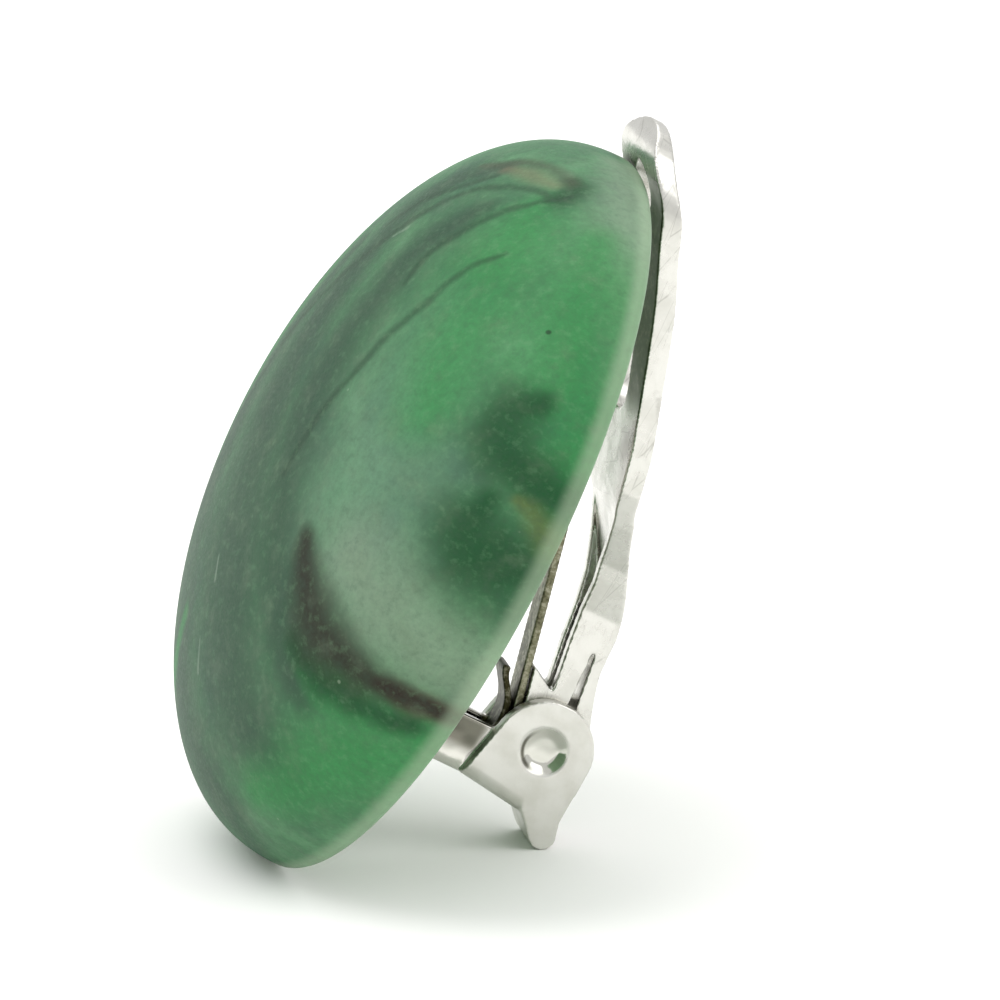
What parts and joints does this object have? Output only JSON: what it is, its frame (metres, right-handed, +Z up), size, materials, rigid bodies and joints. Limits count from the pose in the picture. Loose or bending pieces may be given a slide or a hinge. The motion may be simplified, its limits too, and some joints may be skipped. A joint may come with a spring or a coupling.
{
  "type": "button clip earring",
  "caption": "Domed round button earring in marbled green resin on a hinged spring clip with a windowed paddle, leaning on its rim and the clip's tail.",
  "frame": {"origin": "bottom centre of the bounding box, on the floor the earring stands on", "axes": "+Z up from the floor, the domed face toward -Y and tipped 28.6 degrees up, the clip toward +Y, +X across the clip along its hinge pin"},
  "size_m": [0.024, 0.015, 0.0226],
  "materials": {
    "resin": "frosted, marbled green",
    "plated_clip": "satin nickel plate",
    "spring_steel": "dull, slightly rough",
    "plated_paddle": "satin nickel plate, scratched"
  },
  "bodies": {
    "button": {"cabochon": "resin", "clip_base": "plated_clip", "leaf_spring": "spring_steel"},
    "paddle": {"clip_paddle": "plated_paddle"}
  },
  "joints": [
    {"name": "clip_hinge", "type": "hinge", "parent": "button", "child": "paddle", "pos_m": [0, 0.00347, 0.00311], "axis": [-1, 0, 0], "range_deg": [0, 85], "deforming": ["leaf_spring"]}
  ]
}
